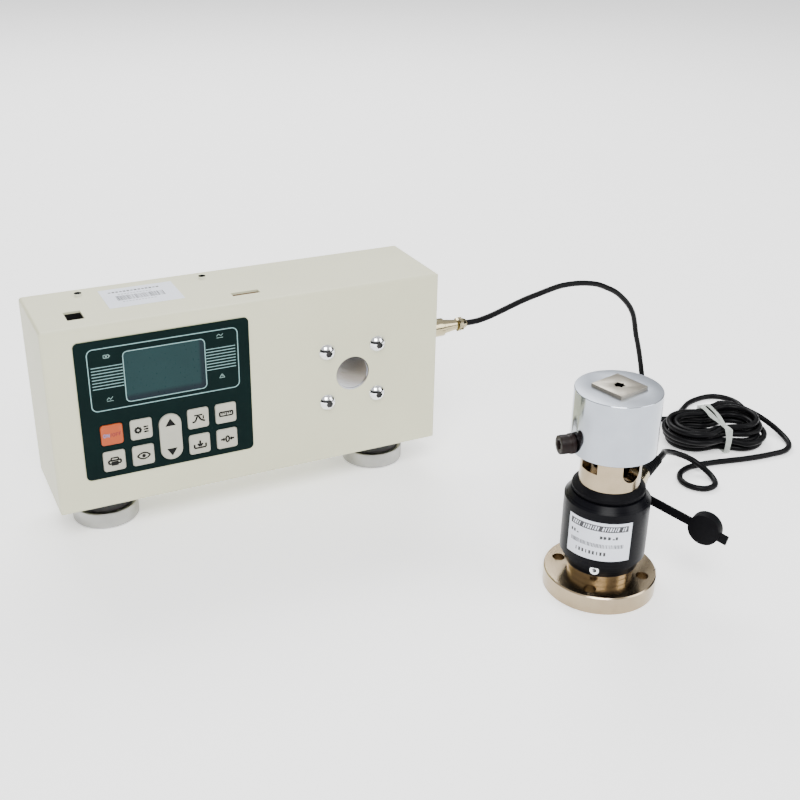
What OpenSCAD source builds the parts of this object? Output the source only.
// Digital torque tester: a display box, a free-standing torque sensor and the cable between them.
// The origin is the middle of the sensor's bolt circle on the table, +Z up, the box's front towards -Y.

/* [Case] */
// Width of the case
case_w = 305; // [300:1:360]
// Depth of the case
case_d = 76; // [74:1:100]
// Height of the case without its feet
case_h = 143; // [141:1:170]
// Thickness of the sheet metal
wall = 1.6; // [1.2:0.1:2]
// Bend radius on the case's outer edges
bend_r = 2.5; // [2:0.1:4]
// From the sensor's axis to the case's left end
case_left = 333; // [325:1:400]
// From the sensor's axis to the case's front
case_back = 200; // [150:1:240]

/* [Feet] */
// Height of a foot
foot_h = 27; // [22:1:32]
// Diameter of a foot's metal ring
foot_d = 50; // [40:1:60]
// Height of a foot's metal ring
ring_h = 13; // [10:0.5:16]
// From each end of the case to the middle of its foot
foot_inset = 39.3; // [32:0.1:60]
// Diameter of a foot's screw
foot_screw_d = 6; // [4:0.5:8]

/* [Front panel] */
// Width of the printed overlay
overlay_w = 127; // [124:1:140]
// Height of the printed overlay
overlay_h = 108; // [106:1:114]
// Thickness of the printed overlay
overlay_t = 0.5; // [0.3:0.1:0.8]
// Corner radius of the overlay
overlay_r = 4; // [2:0.5:8]
// From the case's left end to the overlay
overlay_left = 21; // [16:0.5:24]
// From the case's top to the overlay
overlay_down = 10.5; // [8:0.5:15]
// Width of the display window
window_w = 58.6; // [50:0.1:62]
// Height of the display window
window_h = 38.2; // [30:0.1:40]
// Middle of the display window above the overlay's lower edge
window_up = 77; // [75:0.1:80]

/* [Keys] */
// Side of a square key
key_s = 16; // [13:0.1:17]
// Distance between the middles of neighbouring keys
key_pitch = 21.3; // [20.5:0.1:23]
// Height of the rocker key
rocker_h = 37; // [34:0.1:40]
// Middle of the keys above the overlay's lower edge
keys_up = 23.7; // [22.5:0.1:26]
// How far a key stands out of the overlay
key_out = 1.6; // [1:0.1:2.5]
// Travel of a key
key_travel = 0.4; // [0.2:0.05:0.5]

/* [Mounting square] */
// Bolt circle of the sensor's flange and of the mounting plate
bolt_pcd = 60; // [58:1:62]
// Middle of the mounting square from the case's right end
square_right = 73.7; // [69:0.1:79]
// Middle of the mounting square above the case's bottom
square_up = 71.7; // [66:0.1:78]
// Side of the mounting plate inside the case
plate_s = 72; // [68:1:80]
// Thickness of the mounting plate
plate_t = 7; // [6:0.5:8]
// Diameter of the mounting bolts
bolt_d = 8; // [7:0.5:9]
// Diameter of a mounting bolt's head
bolt_head_d = 14; // [12:0.5:16]
// Height of a mounting bolt's head
bolt_head_h = 4.4; // [3.5:0.1:6]
// Diameter of the blanking plug
plug_d = 27.6; // [22:0.1:30]

/* [Sensor] */
// Diameter of the flange
flange_d = 79; // [77:1:88]
// Thickness of the flange
flange_h = 13; // [10:0.5:15]
// Diameter of the flange's bolt holes
flange_hole_d = 9; // [7:0.1:9.5]
// Diameter of the neck above the flange
neck_d = 46; // [44:0.5:47]
// Top of the neck
neck_top = 21; // [18:0.5:21.5]
// Diameter of the measuring tube inside the sleeve
tube_d = 36; // [32:0.5:38]
// Bore of the sensor
bore_d = 26; // [20:0.5:28]
// Diameter of the post
post_d = 41.6; // [41:0.1:43]
// Height of the sensor's post
post_top = 146; // [144:0.5:148]
// Lower edge of the post's windows
slot_up = 91; // [88:0.5:94]
// Height of the post's windows
slot_h = 19; // [16:0.5:30]
// Width of the post's windows
slot_w = 15; // [10:0.5:17]
// Outer diameter of the sleeve
sleeve_d = 59; // [57:0.5:62]
// Lower edge of the sleeve
sleeve_low = 30; // [29:0.5:34]
// Top of the sleeve's straight side
sleeve_high = 72; // [70:0.5:74]
// Thickness of the sleeve
sleeve_t = 2; // [1.5:0.1:2.5]
// Diameter of the lower ring
lower_ring_d = 51; // [49.5:0.5:53]
// How far the top seal stands out from the post
seal_out = 4.2; // [3.4:0.1:4.8]
// Top of the seal's lip
seal_top = 80.5; // [79:0.5:82]

/* [Adapter] */
// Diameter of the adapter cap
cap_d = 58.6; // [56:0.1:64]
// Lower edge of the adapter cap
cap_low = 108.5; // [105:0.5:110]
// Top of the adapter cap
cap_top = 152.3; // [151:0.1:156]
// Side of the square insert
insert_s = 26; // [22:0.1:28]
// How far the insert stands out of the cap
insert_out = 2.5; // [1:0.1:4]
// Radius at the points of the star hole
star_r = 4.3; // [3.6:0.1:5]
// Radius at the roots of the star hole
root_r = 2.95; // [2.5:0.05:3.2]
// Turn of the insert in the cap
insert_turn = 13; // [0:1:45]
// Diameter of the clamp screw's thread
clamp_d = 8; // [6:0.5:10]
// Height of the clamp screw
clamp_up = 115; // [114.5:0.5:120]
// Diameter of the clamp screw's head
clamp_head_d = 13; // [11:0.5:15]

/* [Cable] */
// Diameter of the cable
cable_d = 5; // [4.8:0.1:5.2]
// Height of the case's connector above the case's bottom
connector_up = 80; // [74:0.5:90]
// Diameter of the connector's coupling ring
coupling_d = 17; // [16:0.5:20]
// Height of the sensor's connector
sensor_plug_up = 62; // [60:0.5:64]
// Diameter of the sensor connector's coupling ring
sensor_coupling_d = 14.5; // [13:0.5:17]

/* [Hank] */
// Half the straight part of the hank's loops
hank_half = 20; // [19:0.5:22]
// Fold radius of the innermost loop
fold_r = 15; // [14:0.5:16]
// Distance between neighbouring strands
strand_pitch = 6; // [6:0.1:6.4]
// Distance between layers of strands
layer_h = 5.8; // [5.6:0.1:6]
// How far the strands are drawn in at the waist
waist_in = 5; // [3:0.5:5]

/* [Dust cap] */
// Diameter of the dust cap's cup
cup_d = 22.5; // [20:0.5:25]
// Depth of the cup
cup_h = 8; // [7.5:0.5:10]
// From the sensor connector's axis to the middle of the cup
cup_reach = 60.6; // [54:0.1:68]
// How far the strap hangs below level
cup_hang = 11.4; // [5:0.1:20]

/* [Hidden] */

// Overrun of every cut, running clearance, close fit, and clearance between loose pieces
cut = 0.5;
run_gap = 0.05;
fit = 0.1;
gap = 0.3;
$fn = 96;

// Colours
ivory = "#d9d7c4";
satin = "#9a9a94";
black = "#1b1b1d";
green = "#12302b";
key_grey = "#c9c8be";
orange = "#ec6b3c";
chrome = "#d5d9de";
nickel = "#b9ac92";
brass = "#b08d57";
board_green = "#2c5a3c";
paper = "#e8ecf0";

// Rear cover, its lugs and screws
cover_screw_d = 3;
cover_screw_l = 9;
pan_head_d = 5.6;
pan_head_h = 2;
lug_s = 9;
lug_l = 12;
lug_in = 14;

// Feet
ring_t = 5;
ring_lift = 0.8;
collar_in = 3;
rubber_floor = 9;
foot_head_d = 11;
foot_head_h = 6;
foot_nut_d = 11;
foot_nut_h = 5;

// Display
window_r = 3;
lcd_rim = 3.5;
lcd_t = 7;
lcd_recess = 1;

// Keys and the board behind them
key_r = 2;
key_gap = 0.25;
key_dome_r = 90;
key_flange_t = 1;
key_flange_w = 1.2;
key_stem_d = 3.5;
key_stem_l = 1.5;
rocker_more = 0.5;
rocker_gap = 0.6;
rocker_dish_r = 40;
rocker_dish = 0.5;
switch_s = 6;
switch_h = 3.6;
plunger_h = 0.8;
board_t = 1.6;
board_edge = 18;
board_rim = 7;
post_w = 5.5;
post_in = 4;
board_screw_d = 3;
board_screw_l = 6;

// Main board on the case's floor
main_w = 100;
main_front = 17;
main_back = 13;
main_x = 152;
main_up = 8;
chip_h = 3;
chip_s = 14;
can_d = 8;
can_h = 11;

// Battery under the top
bracket_x = 87;
bracket_back = 20.4;
bracket_reach = 46.8;
bracket_w = 32;
bracket_t = 1.2;
bracket_tab = 7;
bracket_drop = 18;
bracket_screw_back = 9;
bracket_screw_d = 3;
bracket_screw_l = 6;
cell_d = 14.5;
cell_l = 50;
cell_count = 5;

// Sockets and label on the top
data_x = 29;
data_y = 25.2;
data_w = 12;
data_d = 16.5;
data_deep = 10;
tongue_t = 1.5;
tongue_w = 9;
tongue_h = 6;
card_x = 153.5;
card_y = 20.2;
card_w = 21;
card_d = 6.5;
card_deep = 12;
socket_t = 1.5;
label_x = 82.5;
label_y = 46.7;
label_w = 55;
label_d = 38.5;
label_t = 0.2;

// Mounting square
bolt_play = 1;
bolt_key = 5;
bolt_key_deep = 2.6;
bolt_past = 2;
plug_rim = 1.2;
plug_dish = 0.5;

// Case connector, along its axis from the case's right wall
socket_flange_d = 18.4;
socket_flange_t = 2;
barrel_d = 12.4;
socket_body_d = 14;
socket_neck = 9;
socket_in = 8;
nut_d = 20;
nut_t = 3;
ring_start = 2.4;
ring_end = 25;
ring_waist_d = 15.2;
ring_waist = 18;
barrel_end = 39.5;
barrel_tip_d = 8;
gland_end = 47;
gland_hex = 3.4;
gland_across = 11;
gland_tip_d = 7.4;

// Sensor
flange_edge = 0.8;
hole_turn = 42;
neck_line = 0.5;
neck_line_up = 15;
window_step = 5;
slot_turn = 7;
shoulder_more = 0.5;
sleeve_top = 76.5;
sleeve_plate_t = 2;
seal_lip_in = 1;
seal_cone_top = 84;
screw_turn = -136;
set_screw_d = 6.4;
set_screw_key = 3;
set_screw_deep = 3;
set_screw_out = 0.2;
label_low = 36.5;
label_high = 66;
label_turn = 180;
label_arc = 90;
gauge_low = 45;
gauge_high = 57;
gauge_t = 0.3;
gauge_arc = 22;

// Sensor connector, along its axis from the sensor's middle
plug_turn = 28;
sensor_neck_d = 11.6;
sensor_flange_d = 15.6;
sensor_flange_t = 2;
sensor_seat = 1.1;
sensor_socket_in = 24;
sensor_socket_end = 40;
sensor_ring_start = 35;
sensor_ring_end = 52;
sensor_barrel_end = 58;
boot_d = 10.5;
boot_tip_d = 7;
boot_end = 85;

// Dust cap, beside the sensor connector's flange
cap_ring_t = 1.8;
cap_ring_w = 3;
cap_ring_start = 32.2;
strap_w = 6.5;
strap_t = 1.5;
cup_wall = 2.6;
cup_floor = 1.8;
tab_w = 7;
tab_l = 6;

// Adapter
clamp_turn = 169;
clamp_collar_d = 14;
clamp_collar_t = 3;
clamp_head_l = 7;
clamp_key = 6;
clamp_key_deep = 4;
cap_edge = 0.4;

// Tie round the hank
tie_w = 8;
tie_t = 0.5;
tie_r = 3;
tie_slack = 1;
tie_tail = 14;

// Cable route from the case's connector to the hank, past the first straight stretch
run_case_route = [
    [30, 238, 107], [42, 238, 109], [55, 239, 112], [67, 240, 115], [80, 241, 118], [92, 242, 120],
    [104, 243, 122], [116, 245, 123], [127, 246, 123], [139, 247, 122], [150, 248, 120], [161, 249, 117],
    [172, 250, 112], [183, 251, 106], [192, 252, 99], [201, 253, 90], [208, 254, 80], [213, 256, 69],
    [217, 257, 56], [222, 258, 43], [226, 258, 29], [228, 256, 16], [226, 250, 7], [220, 240, 3.2],
    [212, 230, 2.6], [204, 220, 2.6], [197, 210, 2.6], [193, 199, 2.6], [196, 189, 2.6], [205, 184, 2.6],
    [217, 186, 2.6], [230, 194, 2.6], [243, 202, 2.6], [257, 206, 2.6], [271, 206, 2.6], [281, 200, 2.6],
    [286, 189, 2.6], [285, 177, 2.6], [280, 165, 2.7], [272, 154, 2.9], [262, 143, 3.1]
];

// Cable route from the hank to the sensor's strain relief, round a long bight and a small loop
run_sensor_route = [
    [255, 159, 18.5], [265, 152, 15], [272, 142, 11.5], [276, 130, 8], [277, 118, 5], [275, 106, 3],
    [269, 97, 2.6], [259, 92, 2.6], [246, 92, 2.6], [232, 93, 2.6], [218, 95, 2.6], [204, 98, 2.6],
    [190, 101, 2.6], [176, 103, 2.6], [163, 103, 2.6], [151, 98, 2.6], [144, 88, 2.6], [145, 77, 2.6],
    [153, 69, 2.6], [164, 70, 2.6], [170, 79, 3], [170, 91, 6], [164, 102, 11], [152, 106, 17],
    [139, 101, 24], [126, 91, 32], [114, 78, 41], [102, 65, 50], [92, 54, 57], [84, 46, 61]
];
hank_place = [217, 137, 3.2];
hank_turn = -12;
hank_fan = 6;
layers = 4;
run_steps = 5;
fold_steps = 7;
first_step = 8;
last_step = 173;
tube_sides = 8;
hank_sides = 6;

// Places that follow from the sizes above, from the case's front lower left corner
overlay_up = case_h - overlay_h - overlay_down;
overlay_x = overlay_left + overlay_w / 2;
overlay_z = overlay_up + overlay_h / 2;
window_z = overlay_up + window_up;
slot_high = slot_up + slot_h;
window_low = slot_up + window_step;
keys_z = overlay_up + keys_up;
rocker_w = key_s + rocker_more;
cover_y = case_d - wall;
square_left = case_w - square_right;
bolt_side = bolt_pcd * sin(45);
seal_d = post_d + 2 * seal_out;
seal_lip_low_d = seal_d - 2 * seal_lip_in;
sleeve_shoulder_d = seal_d + 2 * shoulder_more;
main_d = cover_y - main_front - main_back;
main_y = main_front + main_d / 2;
bracket_y = cover_y - bracket_back;
stem_end = wall + gap + key_flange_t + key_stem_l;
plunger_y = stem_end + key_travel + run_gap;
board_y = plunger_y + plunger_h + switch_h;
board_w = 4 * key_pitch + key_s + board_edge;
board_h = rocker_h + board_rim;
main_z = wall + main_up;
bracket_z = case_h - wall - bracket_drop;
cap_inside = post_top + gap;
insert_top = cap_top + insert_out;
clamp_reach = clamp_collar_t + (cap_d - post_d) / 2 + fit - gap;
ring_in = foot_d - 2 * ring_t;
case_exit = [case_w + gland_end - case_left, case_back + case_d / 2, foot_h + connector_up];
sensor_exit = [boot_end * cos(plug_turn), boot_end * sin(plug_turn), sensor_plug_up];

// Column and row of each square key, counted from the middle of the keys
key_places = [[-2, 0.5], [-2, -0.5], [-1, 0.5], [-1, -0.5], [1, 0.5], [1, -0.5], [2, 0.5], [2, -0.5]];
lug_shares = [0, 0.5, 1];

// Moves to the case's frame, the case's connector and the sensor's connector
module on_case() translate([-case_left, case_back, foot_h]) children();
module on_connector() on_case() translate([case_w, case_d / 2, connector_up]) rotate([0, 90, 0]) children();
module on_sensor_plug() rotate([0, 0, plug_turn]) translate([0, 0, sensor_plug_up]) rotate([0, 90, 0])
    children();

// A flat outline set upright on the front panel, from depth a to depth b
module upright(x, z, a, b) translate([x, b, z]) rotate([90, 0, 0]) linear_extrude(b - a) children();

module rounded(w, h, r) {
    square([w - 2 * r, h], center = true);
    square([w, h - 2 * r], center = true);
    for (x = [-1, 1], y = [-1, 1]) translate([x * (w / 2 - r), y * (h / 2 - r)]) circle(r);
}

module block(size) translate([-size.x / 2, -size.y / 2, 0]) cube(size);

// A screw whose head stands on the origin's plane and whose shank runs down from it
module socket_screw(d, l, head_d, head_h, key, key_deep) difference() {
    union() {
        cylinder(d = head_d, h = head_h);
        translate([0, 0, -l]) cylinder(d = d, h = l + head_h / 2);
    }
    translate([0, 0, head_h - key_deep]) cylinder(d = key / cos(30), h = key_deep + cut, $fn = 6);
}

// The same screw with a domed head
module button_screw(d, l, head_d, head_h, key, key_deep) difference() {
    dome_r = (pow(head_d / 2, 2) + pow(head_h, 2)) / (2 * head_h);
    union() {
        intersection() {
            cylinder(d = head_d, h = head_h);
            translate([0, 0, head_h - dome_r]) sphere(dome_r);
        }
        translate([0, 0, -l]) cylinder(d = d, h = l + head_h / 4);
    }
    translate([0, 0, head_h - key_deep]) cylinder(d = key / cos(30), h = key_deep + cut, $fn = 6);
}

module pan_screw(d, l, head_d, head_h) difference() {
    union() {
        cylinder(d = head_d, h = head_h);
        translate([0, 0, -l]) cylinder(d = d, h = l + head_h / 2);
    }
    for (a = [0, 90]) rotate([0, 0, a]) translate([0, 0, head_h / 2])
        block([head_d * 0.6, head_d * 0.14, head_h / 2 + cut]);
}

// Sheet metal case, open at the back
module case_block() intersection() {
    upright(case_w / 2, case_h / 2, 0, case_d) rounded(case_w, case_h, bend_r);
    translate([case_w / 2, case_d, 0]) linear_extrude(case_h) rounded(case_w, 2 * case_d, bend_r);
    translate([0, case_d, case_h / 2]) rotate([90, 0, 90])
        linear_extrude(case_w) rounded(2 * case_d, case_h, bend_r);
}

module at_lugs() for (s = lug_shares, top = [0, 1])
    translate([lug_in + s * (case_w - 2 * lug_in), cover_y, case_h / 2])
        translate([0, 0, (2 * top - 1) * (case_h / 2 - wall - lug_s / 2)]) children();

module key_outline(grow) rounded(key_s + 2 * grow, key_s + 2 * grow, key_r + grow);
module rocker_outline(grow) rounded(rocker_w + 2 * grow, rocker_h + 2 * grow, rocker_w / 2 + grow - fit);

module key_openings(a, b) {
    for (p = key_places)
        upright(overlay_x + p[0] * key_pitch, keys_z + p[1] * key_pitch, a, b) key_outline(key_gap);
    upright(overlay_x, keys_z, a, b) rocker_outline(key_gap);
}

module at_bolts() for (x = [-1, 1], z = [-1, 1])
    translate([square_left + x * bolt_side / 2, 0, square_up + z * bolt_side / 2]) children();

module at_feet() for (x = [foot_inset, case_w - foot_inset]) translate([x, case_d / 2, -foot_h]) children();

module at_bracket_screws() for (x = [-1, 1])
    translate([bracket_x + x * bracket_reach, bracket_y + bracket_screw_back, case_h]) children();

module housing_shell() color(ivory) on_case() difference() {
    union() {
        difference() {
            case_block();
            translate([wall, wall, wall]) cube([case_w - 2 * wall, case_d, case_h - 2 * wall]);
        }
        intersection() {
            at_lugs() translate([0, -lug_l / 2, 0]) cube([lug_s, lug_l, lug_s + wall], center = true);
            case_block();
        }
    }
    at_lugs() rotate([90, 0, 0]) cylinder(d = cover_screw_d + 2 * run_gap, h = 2 * lug_l, center = true);
    upright(overlay_x, window_z, -cut, wall + cut) rounded(window_w, window_h, window_r);
    key_openings(-cut, wall + cut);
    translate([square_left, wall + cut, square_up]) rotate([90, 0, 0])
        cylinder(d = plug_d + 2 * fit, h = wall + 2 * cut);
    at_bolts() translate([0, wall + cut, 0]) rotate([90, 0, 0])
        cylinder(d = bolt_d + bolt_play, h = wall + 2 * cut);
    translate([data_x, data_y, case_h - wall - cut]) block([data_w, data_d, wall + 2 * cut]);
    translate([card_x, card_y, case_h - wall - cut]) block([card_w, card_d, wall + 2 * cut]);
    at_bracket_screws() cylinder(d = bracket_screw_d + 2 * fit, h = 2 * wall + cut, center = true);
    translate([case_w - wall - cut, case_d / 2, connector_up]) rotate([0, 90, 0])
        cylinder(d = socket_body_d + 2 * fit, h = wall + 2 * cut);
    at_feet() translate([0, 0, foot_h - cut]) cylinder(d = foot_screw_d + 2 * fit, h = wall + 2 * cut);
}

module rear_cover() color(ivory) on_case() difference() {
    upright(case_w / 2, case_h / 2, cover_y, case_d)
        square([case_w - 2 * wall - 2 * fit, case_h - 2 * wall - 2 * fit], center = true);
    at_lugs() rotate([90, 0, 0]) cylinder(d = cover_screw_d + 2 * fit, h = 3 * wall, center = true);
}

module rear_cover_screws() color(chrome) on_case() at_lugs() translate([0, wall, 0]) rotate([-90, 0, 0])
    pan_screw(cover_screw_d, cover_screw_l, pan_head_d, pan_head_h);

// Feet: a rubber core in a metal ring, held by one screw
module foot_ring() difference() {
    translate([0, 0, ring_lift]) cylinder(d = foot_d, h = ring_h - ring_lift);
    cylinder(d = ring_in + 2 * fit, h = foot_h);
}

module foot_rubber() difference() {
    union() {
        cylinder(d = ring_in, h = foot_h);
        translate([0, 0, ring_h]) cylinder(d = foot_d - 2 * collar_in, h = foot_h - ring_h);
    }
    translate([0, 0, -cut]) cylinder(d = foot_head_d + 2 * gap, h = rubber_floor + foot_head_h + cut);
    translate([0, 0, -cut]) cylinder(d = foot_screw_d + 2 * fit, h = foot_h + 2 * cut);
}

module foot_ring_left() color(satin) on_case() translate([foot_inset, case_d / 2, -foot_h]) foot_ring();
module foot_ring_right() color(satin) on_case() translate([case_w - foot_inset, case_d / 2, -foot_h])
    foot_ring();
module foot_rubber_left() color(black) on_case() translate([foot_inset, case_d / 2, -foot_h]) foot_rubber();
module foot_rubber_right() color(black) on_case() translate([case_w - foot_inset, case_d / 2, -foot_h])
    foot_rubber();

module foot_screws() color(satin) on_case() at_feet() {
    translate([0, 0, rubber_floor + foot_head_h]) rotate([180, 0, 0])
        socket_screw(foot_screw_d, foot_h - rubber_floor - foot_head_h + wall + foot_nut_h + fit,
            foot_head_d, foot_head_h, foot_screw_d * 0.8, foot_head_h / 2);
    translate([0, 0, foot_h + wall]) difference() {
        cylinder(d = foot_nut_d, h = foot_nut_h, $fn = 6);
        translate([0, 0, -cut]) cylinder(d = foot_screw_d + 2 * run_gap, h = foot_nut_h + 2 * cut);
    }
}

// Front panel
module panel_overlay() color(green) on_case() difference() {
    upright(overlay_x, overlay_z, -overlay_t, 0) rounded(overlay_w, overlay_h, overlay_r);
    upright(overlay_x, window_z, -overlay_t - cut, cut) rounded(window_w, window_h, window_r);
    key_openings(-overlay_t - cut, cut);
}

module lcd_window() color("#3f5a5c") on_case()
    upright(overlay_x, window_z, -overlay_t, wall)
        rounded(window_w - 2 * fit, window_h - 2 * fit, window_r - fit);

module lcd_module() color(satin) on_case() difference() {
    upright(overlay_x, window_z, wall, wall + lcd_t)
        square([window_w + 2 * lcd_rim, window_h + 2 * lcd_rim], center = true);
    upright(overlay_x, window_z, wall - cut, wall + lcd_recess)
        square([window_w, window_h], center = true);
}

// A square key: crowned cap, flange behind the wall and a stem for its switch
module square_key(column, row) on_case() translate([column * key_pitch, 0, row * key_pitch])
    translate([overlay_x, 0, keys_z]) {
        intersection() {
            upright(0, 0, -overlay_t - key_out, wall + gap + key_flange_t) key_outline(0);
            translate([0, key_dome_r - overlay_t - key_out, 0]) sphere(key_dome_r);
        }
        upright(0, 0, wall + gap, wall + gap + key_flange_t) key_outline(key_flange_w);
        translate([0, stem_end, 0]) rotate([90, 0, 0])
            cylinder(d = key_stem_d, h = key_stem_l + key_flange_t / 2);
    }

module key_power() color(orange) square_key(-2, 0.5);
module key_print() color(key_grey) square_key(-2, -0.5);
module key_set() color(key_grey) square_key(-1, 0.5);
module key_view() color(key_grey) square_key(-1, -0.5);
module key_peak() color(key_grey) square_key(1, 0.5);
module key_save() color(key_grey) square_key(1, -0.5);
module key_unit() color(key_grey) square_key(2, 0.5);
module key_zero() color(key_grey) square_key(2, -0.5);

// The rocker key, dished across its middle, with a stem at each end and one over its fulcrum
module key_arrows() color(key_grey) on_case() translate([overlay_x, 0, keys_z]) {
    difference() {
        upright(0, 0, -overlay_t - key_out, wall + rocker_gap + key_flange_t) rocker_outline(0);
        translate([0, rocker_dish - overlay_t - key_out - rocker_dish_r, 0]) rotate([0, 90, 0])
            cylinder(r = rocker_dish_r, h = 2 * rocker_w, center = true);
    }
    upright(0, 0, wall + rocker_gap, wall + rocker_gap + key_flange_t) rocker_outline(key_flange_w);
    for (z = [-1, 0, 1]) translate([0, stem_end, z * key_pitch / 2]) rotate([90, 0, 0])
        cylinder(d = key_stem_d, h = stem_end - wall - rocker_gap);
}

module at_switches() {
    for (p = key_places) translate([overlay_x + p[0] * key_pitch, 0, keys_z + p[1] * key_pitch]) children();
    for (z = [-1, 1]) translate([overlay_x, 0, keys_z + z * key_pitch / 2]) children();
}

module key_switches() color(black) on_case() at_switches() {
    upright(0, 0, board_y - switch_h, board_y) square(switch_s, center = true);
    translate([0, board_y - switch_h / 2, 0]) rotate([90, 0, 0])
        cylinder(d = key_stem_d, h = plunger_h + switch_h / 2);
}

module at_board_posts() for (x = [-1, 1], z = [-1, 1])
    translate([overlay_x + x * (board_w / 2 - post_in), 0, keys_z + z * (board_h / 2 - post_in)])
        children();

module at_main_posts() for (x = [-1, 1], y = [-1, 1])
    translate([main_x + x * (main_w / 2 - post_in), main_y + y * (main_d / 2 - post_in), wall]) children();

module key_board() color(board_green) on_case() difference() {
    upright(overlay_x, keys_z, board_y, board_y + board_t) square([board_w, board_h], center = true);
    at_board_posts() translate([0, board_y + board_t + cut, 0]) rotate([90, 0, 0])
        cylinder(d = board_screw_d + 2 * fit, h = board_t + 2 * cut);
}

module threaded_post(l) difference() {
    cylinder(d = post_w / cos(30), h = l, $fn = 6);
    translate([0, 0, l - board_screw_l]) cylinder(d = board_screw_d + 2 * run_gap, h = board_screw_l + cut);
}

module board_posts() color(brass) on_case() {
    at_board_posts() translate([0, wall, 0]) rotate([-90, 0, 0]) threaded_post(board_y - wall);
    at_main_posts() threaded_post(main_up);
    translate([overlay_x, board_y, keys_z]) rotate([90, 0, 0])
        cylinder(d = key_stem_d, h = board_y - stem_end - run_gap);
}

module board_screws() color(chrome) on_case() {
    at_board_posts() translate([0, board_y + board_t, 0]) rotate([-90, 0, 0])
        pan_screw(board_screw_d, board_screw_l, pan_head_d, pan_head_h);
    at_main_posts() translate([0, 0, main_up + board_t])
        pan_screw(board_screw_d, board_screw_l, pan_head_d, pan_head_h);
}

module main_board() color(board_green) on_case() {
    difference() {
        translate([main_x, main_y, main_z]) block([main_w, main_d, board_t]);
        at_main_posts() cylinder(d = board_screw_d + 2 * fit, h = main_up + board_t + cut);
    }
    for (x = [-1, 0, 1]) translate([main_x + x * main_w / 4, main_y, main_z + board_t / 2])
        block([chip_s, chip_s, board_t / 2 + chip_h]);
    for (x = [-1, 1]) translate([main_x + x * main_w / 8, main_y + main_d / 3, main_z + board_t / 2])
        cylinder(d = can_d, h = board_t / 2 + can_h);
}

// Battery hung under the top by a bent strap
module battery_bracket() color(satin) on_case() difference() {
    translate([bracket_x, bracket_y, 0]) {
        translate([0, 0, bracket_z]) block([2 * bracket_reach - bracket_tab, bracket_w, bracket_t]);
        for (x = [-1, 1]) {
            translate([x * (bracket_reach - bracket_tab / 2 - bracket_t / 2), 0, bracket_z])
                block([bracket_t, bracket_w, bracket_drop]);
            translate([x * bracket_reach, 0, case_h - wall - bracket_t])
                block([bracket_tab, bracket_w, bracket_t]);
        }
    }
    at_bracket_screws() cylinder(d = bracket_screw_d + 2 * run_gap, h = 4 * wall, center = true);
}

module battery_pack() color("#3d6fa8") on_case()
    translate([bracket_x, bracket_y + cell_l / 2 - bracket_w / 4, bracket_z + bracket_t + cell_d / 2])
        rotate([90, 0, 0]) linear_extrude(cell_l) for (i = [0 : cell_count - 1])
            translate([(i - (cell_count - 1) / 2) * cell_d, 0]) {
                circle(d = cell_d);
                if (i > 0) translate([-cell_d / 2, 0]) square([cell_d / 2, cell_d * 0.6], center = true);
            }

module bracket_screws() color(chrome) on_case() at_bracket_screws()
    pan_screw(bracket_screw_d, bracket_screw_l, pan_head_d, pan_head_h);

// Sockets let into the top
module open_socket(w, d, deep) translate([0, 0, -deep - socket_t]) difference() {
    block([w + 2 * socket_t, d + 2 * socket_t, deep + socket_t]);
    translate([0, 0, socket_t]) block([w, d, deep + cut]);
}

module data_socket() color(black) on_case() translate([data_x, data_y, case_h - wall]) {
    open_socket(data_w, data_d, data_deep);
    translate([tongue_t - data_w / 2, 0, -data_deep - socket_t / 2])
        block([tongue_t, tongue_w, tongue_h + socket_t / 2]);
}

module card_socket() color("#8a5a3c") on_case() translate([card_x, card_y, case_h - wall])
    open_socket(card_w, card_d, card_deep);

module top_label() color(paper) on_case() translate([label_x, label_y, case_h])
    block([label_w, label_d, label_t]);

// Mounting square: a drilled plate behind the front, four bolts and a blanking plug
module mount_plate() color(satin) on_case() difference() {
    upright(square_left, square_up, wall, wall + plate_t) square(plate_s, center = true);
    translate([square_left, wall + plate_t + cut, square_up]) rotate([90, 0, 0])
        cylinder(d = plug_d + 2 * run_gap, h = plate_t + 2 * cut);
    at_bolts() translate([0, wall + plate_t + cut, 0]) rotate([90, 0, 0])
        cylinder(d = bolt_d + 2 * run_gap, h = plate_t + 2 * cut);
}

module panel_bolts() color(chrome) on_case() at_bolts() rotate([90, 0, 0])
    button_screw(bolt_d, wall + plate_t + bolt_past, bolt_head_d, bolt_head_h, bolt_key, bolt_key_deep);

module blank_plug() color(chrome) on_case() translate([square_left, 0, square_up]) rotate([-90, 0, 0])
    difference() {
        cylinder(d = plug_d, h = wall + plate_t);
        translate([0, 0, -cut]) cylinder(d = plug_d - 2 * plug_rim, h = plug_dish + cut);
    }

// Case connector: socket in the wall, coupling ring, barrel and gland of the cable's plug
module panel_socket() color(nickel) on_connector() difference() {
    union() {
        cylinder(d = socket_flange_d, h = socket_flange_t);
        translate([0, 0, -wall - socket_in])
            cylinder(d = socket_body_d, h = wall + socket_in + socket_flange_t / 2);
        cylinder(d = barrel_d, h = socket_neck);
    }
    translate([0, 0, socket_flange_t]) cylinder(d = barrel_d - 2 * socket_t, h = socket_neck);
}

module socket_nut() color(nickel) on_connector() translate([0, 0, -wall - nut_t]) difference() {
    cylinder(d = nut_d, h = nut_t, $fn = 6);
    translate([0, 0, -cut]) cylinder(d = socket_body_d + 2 * run_gap, h = nut_t + 2 * cut);
}

module plug_ring() color(nickel) on_connector() rotate_extrude() polygon([
    [barrel_d / 2 + run_gap, ring_start],
    [coupling_d / 2, ring_start],
    [coupling_d / 2, socket_neck],
    [ring_waist_d / 2, ring_waist],
    [ring_waist_d / 2, ring_end],
    [barrel_d / 2 + run_gap, ring_end]
]);

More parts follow.
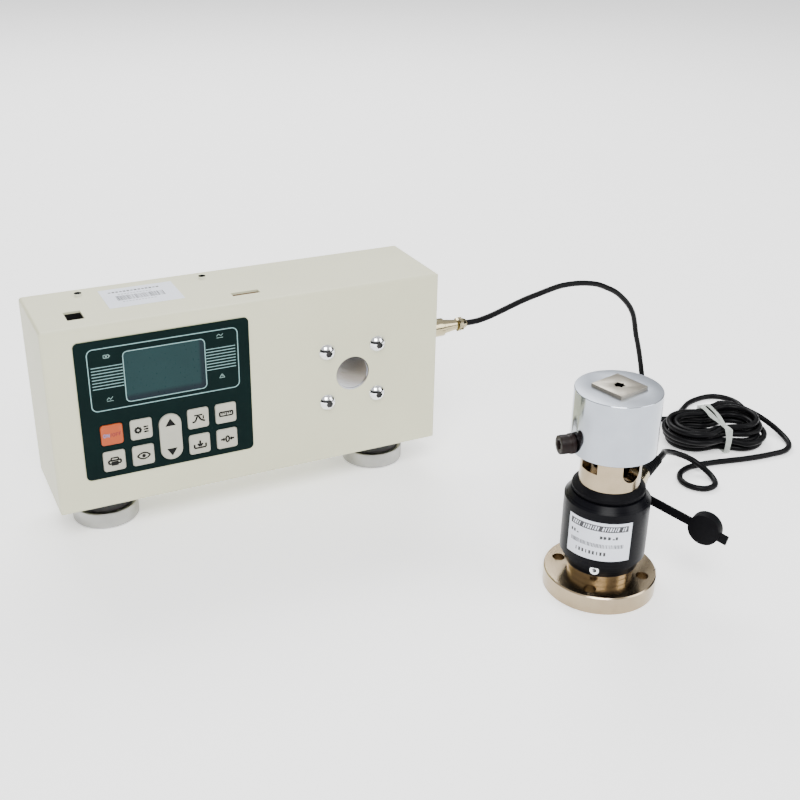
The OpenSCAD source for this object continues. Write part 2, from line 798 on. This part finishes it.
module plug_barrel() color(nickel) on_connector() {
    translate([0, 0, socket_neck]) cylinder(d = barrel_d, h = ring_end - socket_neck);
    translate([0, 0, ring_end]) cylinder(d1 = barrel_d, d2 = barrel_tip_d, h = barrel_end - ring_end);
}

module plug_gland() color(nickel) on_connector() translate([0, 0, barrel_end]) {
    cylinder(d = gland_across / cos(30), h = gland_hex, $fn = 6);
    translate([0, 0, gland_hex])
        cylinder(d1 = gland_across, d2 = gland_tip_d, h = gland_end - barrel_end - gland_hex);
}

// A round tube along points, each ring square to the way the tube runs
function way(p, i) = let(a = p[max(i - 1, 0)], b = p[i], c = p[min(i + 1, len(p) - 1)],
    u = norm(b - a) > 0 ? (b - a) / norm(b - a) : [0, 0, 0],
    v = norm(c - b) > 0 ? (c - b) / norm(c - b) : [0, 0, 0]) (u + v) / norm(u + v);
function square_to(n, d) = let(m = n - (n * d) * d) m / norm(m);
function sides_of(p) = [
    for (i = 0, n = square_to([0, 0, 1], way(p, 0)); i < len(p);
        i = i + 1, n = i < len(p) ? square_to(n, way(p, i)) : n) n
];

module tube(p, d, sides) {
    last = len(p) - 1;
    n = sides_of(p);
    polyhedron(
        [for (i = [0 : last], k = [0 : sides - 1]) let(a = 360 * (k + 0.5) / sides)
            p[i] + d / 2 * (cos(a) * n[i] + sin(a) * cross(way(p, i), n[i]))],
        concat(
            [for (k = [1 : sides - 2]) [0, k, k + 1]],
            [for (k = [1 : sides - 2]) [last * sides, last * sides + k + 1, last * sides + k]],
            [for (i = [0 : last - 1], k = [0 : sides - 1], half = [0, 1])
                let(a = i * sides + k, b = i * sides + (k + 1) % sides)
                    half == 0 ? [a, a + sides, b] : [b, a + sides, b + sides]]
        ), convexity = 10);
}

// The hank: loops with round folds, drawn in at the waist, that spiral in and out a layer at a time
turn_steps = 2 * (run_steps + fold_steps);
turnover = 1 + (1.5 * run_steps + fold_steps) / turn_steps;
function spiral(s) = s < turnover ? turnover - s :
    let(k = min(layers - 2, floor((s - turnover) / 2)))
        k % 2 == 0 ? s - turnover - 2 * k : 2 - (s - turnover - 2 * k);
function climb(i) = [for (k = [0 : layers - 2]) 1]
    * [for (k = [0 : layers - 2])
        min(1, max(0, (i - turn_steps * (2 * k + 1) - run_steps - fold_steps) / run_steps))];
function waist(u) = waist_in * pow(cos(90 * u / hank_half), 2);
function run_point(t, r, side) = let(u = side * hank_half * (2 * t - 1)) [u, side * (r - waist(u))];
function fold_point(t, r, side) = let(a = side * 90 - 180 * t)
    [side * hank_half + r * cos(a), r * sin(a)];
function loop_point(f, r) = f <= run_steps ? run_point(f / run_steps, r, 1) :
    f <= run_steps + fold_steps ? fold_point((f - run_steps) / fold_steps, r, 1) :
    f <= 2 * run_steps + fold_steps ? run_point((f - run_steps - fold_steps) / run_steps, r, -1) :
    fold_point((f - 2 * run_steps - fold_steps) / fold_steps, r, -1);
function hank_point(i) = let(q = loop_point(i % turn_steps, fold_r + strand_pitch * spiral(i / turn_steps)),
    a = hank_turn + hank_fan * (climb(i) - (layers - 1) / 2))
    hank_place + [q.x * cos(a) - q.y * sin(a), q.x * sin(a) + q.y * cos(a), layer_h * climb(i)];
hank_loops = [for (i = [first_step : last_step]) hank_point(i)];
function lead(a, b) = a + cable_d * (a - b) / norm(a - b);
hank_last = len(hank_loops) - 1;
hank_in = lead(hank_loops[0], hank_loops[1]);
hank_out = lead(hank_loops[hank_last], hank_loops[hank_last - 1]);
hank_gap = min([for (i = [0 : hank_last], j = [i + fold_steps : 1 : hank_last])
    norm(hank_loops[i] - hank_loops[j])]) - cable_d;
echo(least_gap_of_the_hank_to_itself = hank_gap);

module cable_run_case() color(black)
    tube(concat([case_exit], run_case_route, [hank_in]), cable_d, tube_sides);
module cable_hank() color(black) tube(concat([hank_in], hank_loops, [hank_out]), cable_d, hank_sides);
module cable_run_sensor() color(black)
    tube(concat([hank_out], run_sensor_route, [sensor_exit]), cable_d, tube_sides);

// A flat tie round the hank's waist, with two loose ends
tie_inside = 2 * (fold_r + 2 * strand_pitch - waist_in + tie_slack) + cable_d;
tie_rise = hank_place.z + (layers - 1) * layer_h + cable_d / 2 + tie_t;
module cable_tie() color("#dfe6df") translate([hank_place.x, hank_place.y, tie_rise / 2 + tie_t / 2])
    rotate([0, 0, hank_turn]) rotate([90, 0, 90]) {
        linear_extrude(tie_w, center = true) difference() {
            rounded(tie_inside + 2 * tie_t, tie_rise + tie_t, tie_r + tie_t);
            rounded(tie_inside, tie_rise - tie_t, tie_r);
        }
        linear_extrude(tie_w * 0.7, center = true)
            translate([-tie_inside / 2 - tie_t, tie_rise * 0.1]) rotate(60) square([tie_t, tie_tail]);
    }

// Sensor: flange, neck, measuring tube and post in one piece of steel
module sensor_element() color(nickel) difference() {
    rotate_extrude() polygon([
        [0, 0], [flange_d / 2, 0], [flange_d / 2, flange_h - flange_edge],
        [flange_d / 2 - flange_edge, flange_h], [neck_d / 2, flange_h],
        [neck_d / 2, neck_line_up], [neck_d / 2 - neck_line, neck_line_up],
        [neck_d / 2 - neck_line, neck_line_up + neck_line], [neck_d / 2, neck_line_up + neck_line],
        [neck_d / 2, neck_top], [tube_d / 2, neck_top], [tube_d / 2, sleeve_high],
        [post_d / 2, sleeve_high], [post_d / 2, post_top], [0, post_top]
    ]);
    translate([0, 0, -cut]) cylinder(d = bore_d, h = post_top + 2 * cut);
    for (a = [0 : 90 : 270]) rotate([0, 0, hole_turn + a]) translate([bolt_pcd / 2, 0, -cut])
        cylinder(d = flange_hole_d, h = flange_h + 2 * cut);
    for (a = [0, 180]) rotate([0, 0, slot_turn + a]) translate([0, -slot_w / 2, window_low])
        cube([post_d, slot_w, slot_high - window_low]);
    for (a = [90, 270]) rotate([0, 0, slot_turn + a]) {
        translate([0, -slot_w / 2, slot_up + slot_w / 2]) cube([post_d, slot_w, slot_h - slot_w / 2]);
        translate([0, 0, slot_up + slot_w / 2]) rotate([0, 90, 0]) cylinder(d = slot_w, h = post_d);
    }
}

module at_set_screws() for (a = [0, 120, 240]) rotate([0, 0, screw_turn + a])
    translate([0, 0, (neck_top + sleeve_low) / 2]) rotate([0, 90, 0]) children();

module lower_ring() color(black) difference() {
    translate([0, 0, neck_top]) cylinder(d = lower_ring_d, h = sleeve_low - neck_top);
    translate([0, 0, neck_top - cut])
        cylinder(d = tube_d + 2 * run_gap, h = sleeve_low - neck_top + 2 * cut);
    at_set_screws() cylinder(d = set_screw_d + 2 * run_gap, h = lower_ring_d);
}

module set_screws() color(chrome) at_set_screws() difference() {
    translate([0, 0, tube_d / 2 + gap])
        cylinder(d = set_screw_d, h = (lower_ring_d - tube_d) / 2 - gap + set_screw_out);
    translate([0, 0, lower_ring_d / 2 - set_screw_deep])
        cylinder(d = set_screw_key / cos(30), h = set_screw_deep + set_screw_out + cut, $fn = 6);
}

module sensor_sleeve() color(black) difference() {
    rotate_extrude() polygon([
        [tube_d / 2 + run_gap, sleeve_low], [sleeve_d / 2, sleeve_low], [sleeve_d / 2, sleeve_high],
        [sleeve_shoulder_d / 2, sleeve_top], [post_d / 2 + gap, sleeve_top],
        [post_d / 2 + gap, sleeve_top - sleeve_plate_t],
        [sleeve_shoulder_d / 2 - sleeve_t, sleeve_top - sleeve_plate_t],
        [sleeve_d / 2 - sleeve_t, sleeve_high - sleeve_plate_t],
        [sleeve_d / 2 - sleeve_t, sleeve_low + sleeve_plate_t],
        [tube_d / 2 + run_gap, sleeve_low + sleeve_plate_t]
    ]);
    on_sensor_plug() cylinder(d = sensor_neck_d + 2 * fit, h = sleeve_d);
    on_sensor_plug() translate([0, 0, sleeve_d / 2 - sensor_seat])
        cylinder(d = sensor_flange_d + 2 * fit, h = sensor_flange_t);
}

module top_seal() color(black) rotate_extrude() polygon([
    [post_d / 2 + fit, sleeve_top], [seal_lip_low_d / 2, sleeve_top],
    [seal_d / 2, (sleeve_top + seal_top) / 2], [seal_d / 2, seal_top],
    [post_d / 2 + 2 * fit, seal_cone_top], [post_d / 2 + fit, seal_cone_top]
]);

module strain_gauges() color(brass) for (a = [0 : 90 : 270]) rotate([0, 0, a - gauge_arc / 2])
    rotate_extrude(angle = gauge_arc) translate([tube_d / 2, gauge_low])
        square([gauge_t, gauge_high - gauge_low]);

module sensor_label() color(paper) rotate([0, 0, label_turn]) rotate_extrude(angle = label_arc)
    translate([sleeve_d / 2 + run_gap, label_low]) square([label_t, label_high - label_low]);

// Sensor connector
module sensor_socket() color(black) on_sensor_plug() {
    translate([0, 0, sensor_socket_in])
        cylinder(d = sensor_neck_d, h = sensor_socket_end - sensor_socket_in);
    translate([0, 0, sleeve_d / 2 - sensor_seat])
        cylinder(d = sensor_flange_d, h = sensor_seat + sensor_flange_t);
}

module sensor_plug() color(nickel) on_sensor_plug() translate([0, 0, sensor_socket_end])
    cylinder(d = sensor_neck_d, h = sensor_barrel_end - sensor_socket_end);

module sensor_plug_ring() color(nickel) on_sensor_plug() translate([0, 0, sensor_ring_start]) difference() {
    cylinder(d = sensor_coupling_d, h = sensor_ring_end - sensor_ring_start);
    translate([0, 0, -cut])
        cylinder(d = sensor_neck_d + 2 * run_gap, h = sensor_ring_end - sensor_ring_start + 2 * cut);
}

module sensor_boot() color(black) on_sensor_plug() translate([0, 0, sensor_barrel_end])
    cylinder(d1 = boot_d, d2 = boot_tip_d, h = boot_end - sensor_barrel_end);

// Rubber dust cap: a ring round the connector's neck, a strap and a cup
module strap_plane(start, t) rotate([0, 0, plug_turn]) translate([start, 0, sensor_plug_up])
    rotate([90, 0, 90]) linear_extrude(t) rotate(180 + cup_hang) children();

module dust_cap() color(black) difference() {
    union() {
        strap_plane(cap_ring_start, cap_ring_t) circle(d = sensor_neck_d + 2 * gap + 2 * cap_ring_w);
        strap_plane(cap_ring_start, strap_t) {
            translate([0, -strap_w / 2]) square([cup_reach, strap_w]);
            translate([cup_reach, -tab_w / 2]) square([cup_d / 2 + tab_l, tab_w]);
        }
        strap_plane(cap_ring_start - cup_floor, cup_h) translate([cup_reach, 0]) circle(d = cup_d);
    }
    strap_plane(cap_ring_start - cut, cap_ring_t + 2 * cut) circle(d = sensor_neck_d + 2 * gap);
    strap_plane(cap_ring_start, cup_h) translate([cup_reach, 0]) circle(d = cup_d - 2 * cup_wall);
}

// Adapter: a heavy cap clamped on the post, and a square insert with a star hole
module on_clamp() rotate([0, 0, clamp_turn]) translate([0, 0, clamp_up]) rotate([0, 90, 0]) children();

module adapter_cap() color(chrome) difference() {
    rotate_extrude() polygon([
        [0, cap_low], [cap_d / 2 - cap_edge, cap_low], [cap_d / 2, cap_low + cap_edge],
        [cap_d / 2, cap_top - cap_edge], [cap_d / 2 - cap_edge, cap_top], [0, cap_top]
    ]);
    translate([0, 0, cap_low - cut]) cylinder(d = post_d + 2 * run_gap, h = cap_inside - cap_low + cut);
    rotate([0, 0, insert_turn]) translate([0, 0, post_top])
        block([insert_s + 2 * run_gap, insert_s + 2 * run_gap, cap_top - post_top + cut]);
    on_clamp() cylinder(d = clamp_d + 2 * run_gap, h = cap_d);
}

module clamp_screw() color(black) on_clamp() translate([0, 0, cap_d / 2 + fit]) {
    cylinder(d = clamp_collar_d, h = clamp_collar_t);
    translate([0, 0, clamp_collar_t]) socket_screw(clamp_d, clamp_reach,
        clamp_head_d, clamp_head_l, clamp_key, clamp_key_deep);
}

module drive_insert() color(nickel) rotate([0, 0, insert_turn]) translate([0, 0, cap_inside]) difference() {
    block([insert_s, insert_s, insert_top - cap_inside]);
    translate([0, 0, -cut]) linear_extrude(insert_top - cap_inside + 2 * cut) polygon([
        for (i = [0 : 11]) (i % 2 == 0 ? star_r : root_r) * [cos(30 * i), sin(30 * i)]
    ]);
}

housing_shell();
rear_cover();
rear_cover_screws();
foot_ring_left();
foot_ring_right();
foot_rubber_left();
foot_rubber_right();
foot_screws();
panel_overlay();
lcd_window();
lcd_module();
key_power();
key_print();
key_set();
key_view();
key_arrows();
key_peak();
key_save();
key_unit();
key_zero();
key_board();
key_switches();
board_posts();
board_screws();
main_board();
battery_bracket();
battery_pack();
bracket_screws();
data_socket();
card_socket();
top_label();
mount_plate();
panel_bolts();
blank_plug();
panel_socket();
socket_nut();
plug_ring();
plug_barrel();
plug_gland();
cable_run_case();
cable_hank();
cable_run_sensor();
cable_tie();
sensor_element();
lower_ring();
set_screws();
sensor_sleeve();
top_seal();
strain_gauges();
sensor_label();
sensor_socket();
sensor_plug();
sensor_plug_ring();
sensor_boot();
dust_cap();
adapter_cap();
clamp_screw();
drive_insert();
